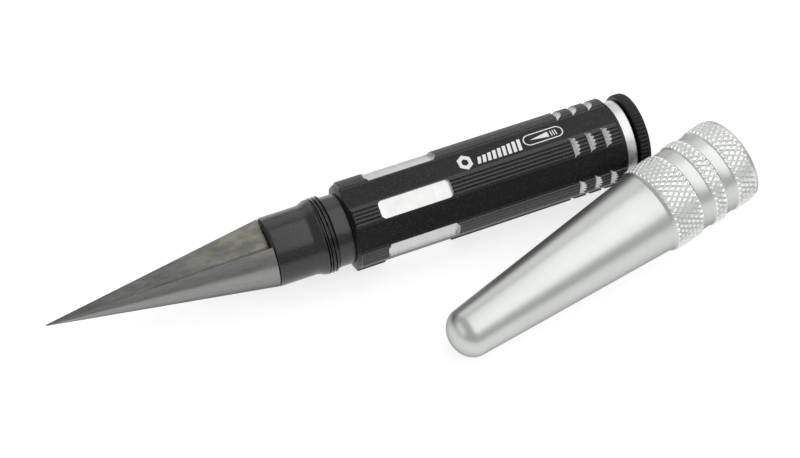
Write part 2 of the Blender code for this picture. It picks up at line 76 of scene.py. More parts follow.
# The blade: a cone whose flute keeps its share of the radius, and a round shank.
TIP_RADIUS = 0.12 * MM
CONE_RADIUS = 7.0 * MM
CONE_STEPS = 48
CONE_CROWDING = 1.15
FLUTE_TURN = radians(37.0)
FLUTE_DEPTH = 2.6 * MM
FLUTE_SIDE = 0.7 * MM
FLUTE_LEAN = 0.52
FLUTE_ROOT = 0.10
FLUTE_OUTSIDE = 14.0 * MM
ARC_STEPS = 110
FLOOR_STEPS = 14
ROOT_STEPS = 5
SIDE_STEPS = 6
WALL_FIRST = ARC_STEPS + FLOOR_STEPS + 3
SHANK_ROOT = BLADE_END - 0.6 * MM
SHANK_FACE = BLADE_END - 0.02 * MM
SHANK_CORE = 2.3 * MM
SHANK_RADIUS = 4.0 * MM
SHANK_CHAMFER = 0.5 * MM
SHANK_CHAMFER_LENGTH = 0.6 * MM
FLUTE_END_FRONT = BLADE_END - 0.03 * MM
FLUTE_END_REAR = BLADE_END + 0.6 * MM

# The collar: a plain neck, a flare, the cap's thread, and a spigot inside the handle.
COLLAR_STEPS = 144
COLLAR_BORE = 4.25 * MM
COLLAR_RADIUS = 7.1 * MM
FLARE_START = 53.6 * MM
FLARE_END = 54.95 * MM
FLARE_RADIUS = 7.68 * MM
LIP_STATION = 55.5 * MM
LIP_RADIUS = 7.76 * MM
THREAD_START = 55.6 * MM
THREAD_END = 57.85 * MM
THREAD_ROOT = 7.34 * MM
THREAD_CREST = 7.8 * MM
THREAD_PITCH = 0.75 * MM
THREAD_FADE = 0.12 * MM
THREAD_ROW = 0.07 * MM
NECK_START = 57.95 * MM
NECK_RADIUS = 7.25 * MM
COLLAR_REAR = HANDLE_FRONT - 0.06 * MM
SPIGOT_RADIUS = 5.5 * MM

# The handle: six flats between six ribbed lands.
LAND_TURNS = [30.0 + 60.0 * k for k in range(6)]
HALF_SIXTH = radians(30.0)
LAND_RADIUS = 9.4 * MM
LAND_OUTSIDE = 9.5 * MM
LAND_HALF = 1.72 * MM
LAND_STEPS = 56
LAND_WALL = 0.05 * MM
LAND_WALL_RISE = 0.02 * MM
LAND_EDGE = 0.1 * MM
LAND_EDGE_DROP = 0.12 * MM
LAND_FACES_FROM = 8.98 * MM
LAND_FACES_SLOPE = 0.2
RIB_PITCH = 2.0 * LAND_HALF / 4.5
RIB_DEPTH = 0.24 * MM
RIB_FULLNESS = 1.9
FLAT_DISTANCE = 8.6 * MM
FLAT_STEPS = 12
FLAT_CROWN = 0.035 * MM
FLAT_SINK = 0.03 * MM
FLAT_MARGIN = 1.03
FRONT_CHAMFER_LENGTH = 0.69 * MM
FRONT_CHAMFER_RADIUS = 7.85 * MM
FRONT_STEPS = 12
REAR_ROUND_LENGTH = 1.2 * MM
REAR_ROUND_DROP = 1.25 * MM
REAR_ROUND_POWER = 1.25
REAR_STEPS = 10
SPIGOT_SEAT = 5.75 * MM
SPIGOT_SEAT_REAR = 76.0 * MM
HANDLE_BORE = 4.6 * MM
SLEEVE_SEAT = 6.45 * MM
SLEEVE_SEAT_FRONT = 114.6 * MM
SCREW_STATION = 70.0 * MM
SCREW_HOLE = 2.2 * MM
SCREW_HOLE_TOP = 4.0 * MM
SCREW_HOLE_REACH = 12.0 * MM

# The cuts through the black surface of the lands.
SLOT_FRONT = 67.3 * MM
SLOT_REAR = 82.6 * MM
SLOT_HALF = 1.85 * MM
SLOT_CORNER = 0.95 * MM
SLOT_LEVEL = 8.57 * MM
SLOT_REACH = 3.0 * MM
CORNER_STEPS = 8
NOTCH_WALLS = (109.0 * MM, 112.5 * MM, 116.0 * MM)
NOTCH_LEVEL = 8.4 * MM
NOTCH_HOLLOW = 8.0 * MM
NOTCH_REACH = 4.0 * MM
NOTCH_WIDTH = 3.2 * MM
NOTCH_TOP = 16.0 * MM
NOTCH_LENGTH = 1.5 * MM
NOTCH_STEPS = 16

# The bright sleeve that holds the bearing.
SLEEVE_STEPS = 144
SLEEVE_FRONT = 115.4 * MM
SLEEVE_RADIUS = 6.2 * MM
BEARING_SEAT = 4.75 * MM
BEARING_STOP = 121.8 * MM
RING_GROOVE_FRONT = 116.3 * MM
RING_GROOVE_REAR = 117.3 * MM
RING_GROOVE = 5.2 * MM
BAND_FRONT = 120.6 * MM
BAND_RADIUS = 7.9 * MM
SLEEVE_MOUTH = 3.4 * MM

# The knurled disc.
DISC_TEETH = 64
TOOTH_DROPS = (0.0, 0.0, 0.35, 1.0, 1.0, 0.35)
TOOTH_DEPTH = 0.2 * MM
TOOTH_FADE = 0.45 * MM
DISC_RADIUS = 8.75 * MM
DISC_BORE = 1.95 * MM
DISC_BORE_END = 124.9 * MM
DISH_RADIUS = 5.6 * MM
DISH_FLOOR = 5.4 * MM
DISH_DEPTH = 0.12 * MM
DISC_CENTRE = 0.3 * MM

# The cap: stations are counted from its nose.
NOSE_LENGTH = 4.3 * MM
NOSE_RADIUS_MM = 5.15
NOSE_STEPS = 14
NOSE_FIRST = 3.0
CAP_TAPER = 44.5 * MM
CAP_TAPER_GROWTH_MM = 3.5
CAP_TAPER_STEPS = 12
CAP_SHOULDER = ((48.7 * MM, 8.64 * MM), (48.85 * MM, 8.67 * MM), (49.15 * MM, 8.86 * MM))
CAP_REAR = 70.4 * MM
BAND = 9.3 * MM
GROOVE_DROP = 0.34 * MM
GROOVE_FLOOR_DROP = 0.05 * MM
# Each knurled band: its two ends, and how far its plain chamfers sink.
KNURLED_BANDS = (
    (49.4 * MM, 56.0 * MM, 0.30 * MM, 0.26 * MM),
    (59.2 * MM, 62.1 * MM, 0.26 * MM, 0.26 * MM),
    (65.1 * MM, 69.6 * MM, 0.26 * MM, 0.24 * MM),
)
KNURLS = 46
KNURL_CELL = 4
KNURL_PITCH = 1.9 * MM
KNURL_DEPTH = 0.24 * MM
KNURL_SLOPE = 0.25
CAP_STEPS = KNURLS * KNURL_CELL
CAP_MOUTH = 8.02 * MM
CAP_THREAD_START = 66.0 * MM
CAP_THREAD_END = 69.2 * MM
CAP_THREAD_CREST = 7.7 * MM
CAP_THREAD_PITCH = 0.9 * MM
CAP_THREAD_FADE = 0.3 * MM

# The printed marks, in millimetres along and across the flat that faces up.
INK_LOW = FLAT_DISTANCE + 0.004 * MM
INK_HIGH = FLAT_DISTANCE + 0.022 * MM
HEXAGON_STATION = 87.3
HEXAGON_SIDE = 0.35
BARS = 9
BARS_START = 89.6
BAR_PITCH = 1.12
BAR_WIDTH = 0.72
BAR_LEAN = 0.5
BAR_FOOT = 1.75
BAR_HEAD = 0.05
BAR_GROWTH = 0.14
PILL_STEPS = 12
TAPER_HALF = 0.68
TAPER_POINT = 101.6
TAPER_BASE = 105.7
TICKS = 3
TICKS_START = 106.2
TICK_PITCH = 0.52
TICK_WIDTH = 0.22

# The viewpoint and the studio.
VIEW_HEADING = radians(35.934)
VIEW_DOWN = radians(52.0)
VIEW_DISTANCE = 0.40855
VIEW_TARGET = Vector((0.006212, 0.012697, 0.0))
VIEW_LENS = 90.0
VIEW_SENSOR = 36.0
FLOOR_HALF = 1.5
FLOOR_CELLS = 8
FLOOR_DROP = 0.05 * MM
SKY_STOPS = ((0.0, 0.48), (0.10, 0.42), (0.40, 0.50), (1.0, 0.50))

# How the procedural textures are stretched over a piece, across it and along it.
EVEN = (1.0, 1.0, 1.0)
FINE = (1000.0, 1000.0, 1000.0)


def axis_frame(start, along):
    """Local +Z along the piece, +X as near to up as it can be."""
    up = (UP - along * UP.dot(along)).normalized()
    side = along.cross(up)
    return Matrix.Translation(start) @ Matrix((up, side, along)).transposed().to_4x4()


TOOL_FRAME = axis_frame(TIP, ALONG)
CAP_FRAME = axis_frame(CAP_NOSE, CAP_ALONG)


# ---------------------------------------------------------------- materials


def grey(value):
    return (value, value, value)


class Nodes:
    """A short way to write a material whose textures lie in a piece's own frame."""

    def __init__(self, name, frame_of_piece):
        self.material = bpy.data.materials.new(name)
        self.material.use_nodes = True
        self.tree = self.material.node_tree
        self.shader = self.tree.nodes["Principled BSDF"]
        self.to_piece = frame_of_piece.inverted()

    def add(self, kind, **settings):
        node = self.tree.nodes.new(kind)
        for key, value in settings.items():
            setattr(node, key, value)
        return node

    def link(self, source, target):
        self.tree.links.new(source, target)

    def feed(self, value, socket):
        """Link a socket, or set a colour or a number."""
        if isinstance(value, bpy.types.NodeSocket):
            self.link(value, socket)
        elif isinstance(value, tuple):
            socket.default_value = (*value, 1.0)
        else:
            socket.default_value = value

    def surface(self, colour, rough, relief, **values):
        """Feed the shader: textures for the first three, and even values by name."""
        self.link(colour, self.shader.inputs["Base Color"])
        if rough is not None:
            self.link(rough, self.shader.inputs["Roughness"])
        if relief is not None:
            self.link(relief, self.shader.inputs["Normal"])
        for key, value in values.items():
            self.feed(value, self.shader.inputs[key.replace("_", " ")])
        return self.material

    def local(self):
        """Object coordinates turned into the piece's own frame, in which +Z runs along it."""
        where = self.add("ShaderNodeTexCoord")
        turn = self.add("ShaderNodeMapping")
        turn.inputs["Rotation"].default_value = self.to_piece.to_euler()
        turn.inputs["Location"].default_value = self.to_piece.to_translation()
        self.link(where.outputs["Object"], turn.inputs["Vector"])
        return turn.outputs["Vector"]

    def noise(self, stretch, scale, detail, roughness=0.5):
        """Noise over the piece's own coordinates, stretched."""
        mapping = self.add("ShaderNodeMapping")
        mapping.inputs["Scale"].default_value = stretch
        self.link(self.local(), mapping.inputs["Vector"])
        node = self.add("ShaderNodeTexNoise")
        node.inputs["Scale"].default_value = scale
        node.inputs["Detail"].default_value = detail
        node.inputs["Roughness"].default_value = roughness
        self.link(mapping.outputs["Vector"], node.inputs["Vector"])
        return node.outputs["Fac"]

    def ramp(self, source, *stops):
        node = self.add("ShaderNodeValToRGB")
        items = node.color_ramp.elements
        while len(items) < len(stops):
            items.new(0.5)
        for item, (place, colour) in zip(items, stops):
            item.position = place
            item.color = (*colour, 1.0)
        self.link(source, node.inputs["Fac"])
        return node.outputs["Color"]

    def between(self, source, low, high):
        node = self.add("ShaderNodeMapRange")
        node.inputs["To Min"].default_value = low
        node.inputs["To Max"].default_value = high
        self.link(source, node.inputs["Value"])
        return node.outputs["Result"]

    def mix(self, factor, first, second, kind="MIX"):
        node = self.add("ShaderNodeMix", data_type="RGBA", blend_type=kind)
        for socket, value in ((node.inputs[0], factor), (node.inputs[6], first), (node.inputs[7], second)):
            self.feed(value, socket)
        return node.outputs[2]

    def math(self, kind, first, second):
        node = self.add("ShaderNodeMath", operation=kind)
        for socket, value in zip(node.inputs, (first, second)):
            self.feed(value, socket)
        return node.outputs[0]

    def bump(self, source, depth, strength, after=None):
        node = self.add("ShaderNodeBump")
        node.inputs["Strength"].default_value = strength
        node.inputs["Distance"].default_value = depth
        self.link(source, node.inputs["Height"])
        if after is not None:
            self.link(after, node.inputs["Normal"])
        return node.outputs["Normal"]

    def rising(self, start, end):
        """From 0 to 1 between two stations along the piece."""
        split = self.add("ShaderNodeSeparateXYZ")
        self.link(self.local(), split.inputs[0])
        rise = self.add("ShaderNodeMapRange", interpolation_type="SMOOTHSTEP")
        rise.inputs["From Min"].default_value = start / MM
        rise.inputs["From Max"].default_value = end / MM
        self.link(self.math("MULTIPLY", split.outputs["Z"], 1.0 / MM), rise.inputs["Value"])
        return rise.outputs["Result"]


def black_anodised(name, gloss=0.34, line_stretch=(260.0, 260.0, 8.0), dust_and_sheen=1.0, bend=1.35):
    """Hard black anodising: extrusion lines along the piece, a matt grain and faint dust; a dust scale above 1
    lightens the dust into a painted highlight.
    """
    make = Nodes(name, TOOL_FRAME)
    lines = make.noise(line_stretch, scale=9.0, detail=3.0)
    grain = make.noise(FINE, scale=3.2, detail=6.0, roughness=0.7)
    cloud = make.noise(EVEN, scale=140.0, detail=3.0)
    # The dust scale lifts the dust colour; above 1, as on the ribbed lands, the lift is a painted highlight.
    dust = tuple(dust_and_sheen * part for part in (0.075, 0.077, 0.072))
    tone = make.ramp(grain, (0.46, grey(0.001)), (0.56, grey(dust_and_sheen * 0.006)), (0.70, dust))
    tone = make.mix(make.between(cloud, 0.0, 0.5), tone, (0.006, 0.006, 0.007))
    rough = make.math("ADD", make.between(lines, -0.06, 0.06), make.between(grain, gloss - 0.05, gloss + 0.12))
    relief = make.bump(grain, 0.010 * MM, 0.6, after=make.bump(lines, 0.012 * MM, 0.5))
    return make.surface(tone, rough, relief, IOR=bend)


def machined_aluminium(name, rings=False):
    """Bare cut aluminium: cutter lines across the cut, or rings where it is turned."""
    make = Nodes(name, TOOL_FRAME)
    if rings:
        lines = make.noise((4.0, 4.0, 3000.0), scale=1.6, detail=3.0)
    else:
        lines = make.noise((30.0, 30.0, 1500.0), scale=2.2, detail=4.0)
    patch = make.noise(EVEN, scale=420.0, detail=3.0)
    tone = make.ramp(patch, (0.25, (0.61, 0.61, 0.60)), (0.75, (0.69, 0.69, 0.68)))
    tone = make.mix(make.between(lines, 0.0, 0.35), tone, (0.50, 0.50, 0.49))
    return make.surface(tone, make.between(lines, 0.26, 0.44), make.bump(lines, 0.006 * MM, 0.6), Metallic=1.0)


def satin_aluminium(name, lift=1.0):
    """Blasted, clear-anodised aluminium with faint turning rings under the satin."""

    def lifted(*colour):
        return tuple(lift * part for part in colour)

    make = Nodes(name, CAP_FRAME)
    rings = make.noise((2.0, 2.0, 2600.0), scale=1.3, detail=4.0)
    grain = make.noise(FINE, scale=7.0, detail=4.0, roughness=0.65)
    cloud = make.noise(EVEN, scale=90.0, detail=3.0)
    tone = make.ramp(cloud, (0.3, lifted(0.585, 0.60, 0.58)), (0.7, lifted(0.625, 0.64, 0.62)))
    tone = make.mix(make.between(grain, 0.0, 0.22), tone, lifted(0.52, 0.53, 0.52))
    rough = make.math("ADD", make.between(rings, -0.03, 0.03), make.between(grain, 0.30, 0.40))
    relief = make.bump(grain, 0.004 * MM, 0.6, after=make.bump(rings, 0.004 * MM, 0.5))
    return make.surface(tone, rough, relief, Metallic=0.95, Specular_Tint=grey(0.35))


def heat_tinted(make, tone):
    """Mottled brown tints towards the cone's base, and darker patches all over."""
    patch = make.noise((1.0, 1.0, 0.55), scale=330.0, detail=5.0, roughness=0.6)
    hue = make.noise((1.0, 1.0, 0.6), scale=520.0, detail=2.0)
    blotch = make.ramp(patch, (0.40, grey(0.0)), (0.58, grey(1.0)))
    straw, bronze, violet = (0.16, 0.155, 0.115), (0.235, 0.225, 0.175), (0.15, 0.13, 0.12)
    tint = make.ramp(hue, (0.3, straw), (0.5, bronze), (0.7, violet))
    amount = make.math("MULTIPLY", blotch, make.rising(27.0 * MM, 40.0 * MM))
    tone = make.mix(make.math("MULTIPLY", amount, 0.65), tone, tint)
    dark = make.ramp(patch, (0.30, grey(0.62)), (0.62, grey(1.0)))
    return make.mix(1.0, tone, dark, "MULTIPLY")


def ground_steel(name, flute=False):
    """Tool steel: fine grinding lines, and on the flute's floor a heat tint near the base."""
    make = Nodes(name, TOOL_FRAME)
    grain = make.noise(FINE, scale=2.4, detail=5.0, roughness=0.65)
    if flute:
        lines = make.noise((900.0, 900.0, 260.0), scale=1.6, detail=5.0, roughness=0.6)
        tone = heat_tinted(make, make.mix(make.between(lines, 0.0, 1.0), (0.10, 0.10, 0.095), (0.23, 0.23, 0.22)))
    else:
        lines = make.noise((700.0, 700.0, 26.0), scale=2.4, detail=4.0, roughness=0.6)
        tone = make.mix(make.between(lines, 0.0, 1.0), (0.20, 0.20, 0.195), (0.32, 0.32, 0.31))
    rough = make.math("ADD", make.between(lines, -0.08, 0.08), make.between(grain, 0.22, 0.34))
    relief = make.bump(grain, 0.004 * MM, 0.4, after=make.bump(lines, 0.010 * MM, 0.6))
    return make.surface(tone, rough, relief, Metallic=1.0, Specular_Tint=grey(0.4))


def polished_steel(name, tone=(0.60, 0.60, 0.61), rough=0.16):
    """Smooth metal with faint turning rings and slightly darker patches."""
    make = Nodes(name, TOOL_FRAME)
    rings = make.noise((3.0, 3.0, 2400.0), scale=1.5, detail=3.0)
    patch = make.noise(EVEN, scale=600.0, detail=3.0)
    low = tuple(0.82 * part for part in tone)
    colour = make.mix(make.between(patch, 0.0, 0.8), tone, low)
    roughness = make.between(rings, rough - 0.05, rough + 0.08)
    return make.surface(colour, roughness, make.bump(rings, 0.003 * MM, 0.4), Metallic=1.0)


def white_print(name):
    """Pad-printed white ink: nearly opaque, with a slight tooth."""
    make = Nodes(name, TOOL_FRAME)
    grain = make.noise(FINE, scale=4.0, detail=4.0, roughness=0.6)
    tone = make.ramp(grain, (0.25, (0.62, 0.62, 0.61)), (0.6, (0.86, 0.86, 0.85)))
    return make.surface(tone, make.between(grain, 0.4, 0.6), make.bump(grain, 0.004 * MM, 0.5))


def pale_floor(name):
    """A pale matt sweep that glows a little, so that it stays light between the softboxes."""
    make = Nodes(name, TOOL_FRAME)
    tone = make.ramp(make.noise(EVEN, scale=300.0, detail=3.0), (0.3, grey(0.40)), (0.7, grey(0.41)))
    make.link(tone, make.shader.inputs["Emission Color"])
    return make.surface(tone, None, None, Roughness=0.9, Emission_Strength=1.8)


# ---------------------------------------------------------------- shapes


def shade(mesh, sharp):
    """Smooth faces, with a crease where two meet at more than the sharp angle in degrees."""
    for edge in mesh.edges:
        if len(edge.link_faces) == 2:
            edge.smooth = edge.calc_face_angle(0.0) < radians(sharp)
    for face in mesh.faces:
        face.smooth = True


def in_scene(name, data):
    """A new object for a mesh, a light or a camera."""
    item = bpy.data.objects.new(name, data)
    bpy.context.scene.collection.objects.link(item)
    return item


def object_of(name, mesh, place, materials):
    """Turn a bmesh drawn in a local frame into an object."""
    data = bpy.data.meshes.new(name)
    mesh.transform(place)
    mesh.to_mesh(data)
    mesh.free()
    for material in materials:
        data.materials.append(material)
    return in_scene(name, data)


def join_model(item, body, stands_for):
    """Make an object a piece of the model."""
    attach(item, body)
    if stands_for:
        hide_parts(*stands_for)


def finish_piece(name, mesh, place, body, stands_for, materials, sharp=32.0):
    """Turn a bmesh drawn in a local frame into a piece of the model."""
    bmesh.ops.recalc_face_normals(mesh, faces=mesh.faces)
    shade(mesh, sharp)
    join_model(object_of(name, mesh, place, materials), body, stands_for)


def raw_object(name, mesh, *materials):
    """A cutter or a blank of the tool, before it belongs to the model."""
    bmesh.ops.recalc_face_normals(mesh, faces=mesh.faces)
    return object_of(name, mesh, TOOL_FRAME, materials)


def adopt(item, body, stands_for, sharp=32.0):
    """Shade a baked object and give it to the model."""
    mesh = bmesh.new()
    mesh.from_mesh(item.data)
    shade(mesh, sharp)
    mesh.to_mesh(item.data)
    mesh.free()
    join_model(item, body, stands_for)


def applied(item, modifiers):
    """Bake Booleans into the mesh, so that the piece is one clean shell."""
    for kind, tool in modifiers:
        step = item.modifiers.new(tool.name, "BOOLEAN")
        step.operation = kind
        step.solver = "EXACT"
        step.material_mode = "TRANSFER"
        step.object = tool
    depsgraph = bpy.context.evaluated_depsgraph_get()
    data = bpy.data.meshes.new_from_object(item.evaluated_get(depsgraph), depsgraph=depsgraph)
    item.modifiers.clear()
    old = item.data
    item.data = data
    bpy.data.meshes.remove(old)
    for _, tool in modifiers:
        bpy.data.objects.remove(tool)


def grid(rows, cap_front=False, cap_rear=False, wrap_rows=False):
    """Skin a list of rings, each a list of points, into a tube."""
    mesh = bmesh.new()
    rings = [[mesh.verts.new(point) for point in row] for row in rows]
    if wrap_rows:
        rings.append(rings[0])
    for first, second in zip(rings, rings[1:]):
        count = len(first)
        for k in range(count):
            after = (k + 1) % count
            mesh.faces.new((first[k], first[after], second[after], second[k]))
    if cap_front:
        mesh.faces.new(rings[0])
    if cap_rear:
        mesh.faces.new(rings[-1])
    return mesh


def sides(mesh, first, second):
    """Join two rims with the same number of points."""
    for k in range(len(first)):
        mesh.faces.new((first[k], first[k - 1], second[k - 1], second[k]))


def skin(mesh, rims):
    """Close two rims into a prism."""
    first, second = rims
    mesh.faces.new(first)
    mesh.faces.new(second)
    sides(mesh, first, second)


def eased(before, corner, after, t):
    """A point on the curve that rounds a corner."""
    return (1 - t) ** 2 * before + 2 * t * (1 - t) * corner + t**2 * after


def rounded(outline, closed=False, steps=4):
    """Round each corner of an outline of (station, radius, size of the rounding) points."""
    points = []
    count = len(outline)
    for k, corner in enumerate(outline):
        here = Vector(corner[:2])
        size = corner[2]
        if (not closed and k in (0, count - 1)) or size <= 0.0:
            points.append(here)
            continue
        back = Vector(outline[k - 1][:2]) - here
        ahead = Vector(outline[(k + 1) % count][:2]) - here
        reach = min(size, 0.45 * back.length, 0.45 * ahead.length)
        start = here + back.normalized() * reach
        end = here + ahead.normalized() * reach
        for step in range(steps + 1):
            points.append(eased(start, here, end, step / steps))
    return points


def ring(station, radii):
    """One row of points round the axis, with a radius for each."""
    steps = len(radii)
    turns = [2.0 * pi * k / steps for k in range(steps)]
    return [(radius * cos(turn), radius * sin(turn), station) for radius, turn in zip(radii, turns)]


def turned(points, steps):
    """Rings of a lathe for (station, radius) points."""
    return [ring(station, [radius] * steps) for station, radius in points]


def lathe_solid(points, steps):
    """A lathe whose first and last points lie on the axis."""
    return grid(turned(points[1:-1], steps), cap_front=True, cap_rear=True)


def threaded(start, end, root, crest, pitch, steps, fade):
    """Rows of a single-start thread; it grows out of the plain surface over the fade length."""
    rows = []
    count = int(round((end - start) / THREAD_ROW))
    for j in range(count + 1):
        station = start + (end - start) * j / count
        grown = min(1.0, (station - start) / fade, (end - station) / fade)
        radii = []
        for k in range(steps):
            wave = 0.5 + 0.5 * cos(2.0 * pi * (station / pitch - k / steps))
            height = min(1.0, max(0.0, 1.5 * wave - 0.25)) * max(0.0, grown)
            radii.append(root + (crest - root) * height)
        rows.append(ring(station, radii))
    return rows


# ---------------------------------------------------------------- the reamer


def blade_section(radius):
    """The cone's arc, the flute's floor with a small root radius, and the cutting face."""
    side = FLUTE_SIDE / CONE_RADIUS
    start = asin(-side)
    corner = Vector((FLUTE_DEPTH / CONE_RADIUS, -side)) * radius
    fall = Vector((-FLUTE_LEAN, -1.0)).normalized()
    reach = -corner.dot(fall) + sqrt(corner.dot(fall) ** 2 - corner.length_squared + radius**2)
    far = corner + fall * reach
    end = atan2(far.y, far.x) + 2.0 * pi
    points = []
    for k in range(ARC_STEPS + 1):
        turn = start + (end - start) * k / ARC_STEPS
        points.append(Vector((radius * cos(turn), radius * sin(turn))))
    edge = points[0]
    before = corner + fall * (FLUTE_ROOT * radius)
    after = corner + (edge - corner).normalized() * (FLUTE_ROOT * radius)
    points += [far.lerp(before, k / FLOOR_STEPS) for k in range(1, FLOOR_STEPS + 1)]
    points += [eased(before, corner, after, k / ROOT_STEPS) for k in range(1, ROOT_STEPS)]
    points += [after.lerp(edge, k / SIDE_STEPS) for k in range(SIDE_STEPS)]
    turn = Matrix.Rotation(FLUTE_TURN, 2)
    return [turn @ point for point in points]


def make_blade():
    rows = []
    for k in range(CONE_STEPS + 1):
        station = BLADE_END * (k / CONE_STEPS) ** CONE_CROWDING
        radius = TIP_RADIUS + (CONE_RADIUS - TIP_RADIUS) * station / BLADE_END
        rows.append([(point.x, point.y, station) for point in blade_section(radius)])
    mesh = grid(rows, cap_front=True, cap_rear=True)
    count = len(rows[0])
    for number, face in enumerate(mesh.faces):
        if number < CONE_STEPS * count and number % count >= ARC_STEPS:
            face.material_index = 2 if number % count >= WALL_FIRST else 1
    cone = ground_steel("ground_steel_cone")
    flute = ground_steel("ground_steel_flute", flute=True)
    wall = polished_steel("ground_steel_wall", tone=(0.85, 0.84, 0.80), rough=0.3)
    item = raw_object("blade_detail", mesh, cone, flute, wall)
    shank = [
        (SHANK_ROOT, 0.0),
        (SHANK_ROOT, SHANK_CORE),
        (SHANK_FACE, SHANK_CORE),
        (SHANK_FACE, SHANK_RADIUS),
        (SHANK_END - SHANK_CHAMFER_LENGTH, SHANK_RADIUS),
        (SHANK_END, SHANK_RADIUS - SHANK_CHAMFER),
        (SHANK_END, 0.0),
    ]
    add = raw_object("shank", lathe_solid(shank, 64), cone)
    applied(item, [("UNION", add), ("DIFFERENCE", flute_end(flute))])
    adopt(item, "tool", ["reamer_blade"])


def flute_end(material):
    """The flute's own section carried on through the shoulder of the shank."""
    lean = FLUTE_LEAN * (FLUTE_OUTSIDE - FLUTE_SIDE)
    section = [
        (FLUTE_DEPTH, -FLUTE_SIDE),
        (FLUTE_OUTSIDE, -FLUTE_SIDE),
        (FLUTE_OUTSIDE, -FLUTE_OUTSIDE),
        (FLUTE_DEPTH - lean, -FLUTE_OUTSIDE),
    ]
    turn = Matrix.Rotation(FLUTE_TURN, 2)
    whole = bmesh.new()
    rims = []
    for station in (FLUTE_END_FRONT, FLUTE_END_REAR):
        rims.append([whole.verts.new((*(turn @ Vector(corner)), station)) for corner in section])
    skin(whole, rims)
    return raw_object("flute_end", whole, material)


def make_collar():
    front = [
        (COLLAR_FRONT, COLLAR_BORE, 0.0),
        (COLLAR_FRONT, COLLAR_RADIUS, 0.28 * MM),
        (FLARE_START, COLLAR_RADIUS, 0.8 * MM),
        (FLARE_END, FLARE_RADIUS, 0.5 * MM),
        (LIP_STATION, LIP_RADIUS, 0.0),
    ]
    rear = [
        (NECK_START, NECK_RADIUS, 0.0),
        (COLLAR_REAR, NECK_RADIUS, 0.06 * MM),
        (COLLAR_REAR, SPIGOT_RADIUS, 0.0),
        (SPIGOT_END, SPIGOT_RADIUS, 0.3 * MM),
        (SPIGOT_END, COLLAR_BORE, 0.0),
    ]
    rows = turned(rounded(front), COLLAR_STEPS)
    rows += threaded(THREAD_START, THREAD_END, THREAD_ROOT, THREAD_CREST, THREAD_PITCH, COLLAR_STEPS, THREAD_FADE)
    rows += turned(rounded(rear), COLLAR_STEPS)
    black = black_anodised("black_anodised_collar", 0.22, (60.0, 60.0, 2600.0), dust_and_sheen=0.8, bend=1.6)
    mesh = grid(rows, wrap_rows=True)
    finish_piece("collar_detail", mesh, TOOL_FRAME, "tool", ["front_collar"], [black])


def land_profile():
    """Points across one land: a short wall, five rounded ribs, and the wall again."""
    shoulder = (FLAT_DISTANCE - LAND_HALF * 0.5) / cos(HALF_SIXTH)
    points = [(-LAND_HALF - LAND_WALL, shoulder + LAND_WALL_RISE)]
    for k in range(LAND_STEPS + 1):
        across = -LAND_HALF + 2.0 * LAND_HALF * k / LAND_STEPS
        crest = sqrt(LAND_RADIUS**2 - across**2)
        wave = 0.5 + 0.5 * cos(2.0 * pi * (across + LAND_HALF - 0.25 * RIB_PITCH) / RIB_PITCH)
        edge = min(1.0, (across + LAND_HALF) / LAND_EDGE, (LAND_HALF - across) / LAND_EDGE)
        dip = RIB_DEPTH * (1.0 - min(1.0, RIB_FULLNESS * wave))
        points.append((across, crest - dip - LAND_EDGE_DROP * (1.0 - edge)))
    points.append((LAND_HALF + LAND_WALL, shoulder + LAND_WALL_RISE))
    return points


def handle_section():
    """The whole outline across the handle, as (x, y) points."""
    half_flat = FLAT_DISTANCE * tan(HALF_SIXTH) - FLAT_MARGIN * LAND_HALF / cos(HALF_SIXTH)
    flat = []
    for k in range(FLAT_STEPS + 1):
        across = half_flat * (2.0 * k / FLAT_STEPS - 1.0)
        crown = FLAT_CROWN * (1.0 - (across / half_flat) ** 2)
        flat.append((across, FLAT_DISTANCE - FLAT_SINK + crown))
    outline = []
    for degrees in LAND_TURNS:
        turn = radians(degrees)
        for profile, heading in ((land_profile(), turn), (flat, turn + HALF_SIXTH)):
            for across, out in profile:
                x = out * cos(heading) - across * sin(heading)
                y = out * sin(heading) + across * cos(heading)
                outline.append((x, y))
    return outline


def bounded(outline, station, limit):
    """One row of the handle, turned down to a radius where it is larger."""
    row = []
    for x, y in outline:
        size = min(1.0, limit / sqrt(x * x + y * y))
        row.append((x * size, y * size, station))
    return row


def inner_row(outline, station, radius):
    """A round row with the same number of points as the outline."""
    turns = [atan2(y, x) for x, y in outline]
    return [(radius * cos(turn), radius * sin(turn), station) for turn in turns]


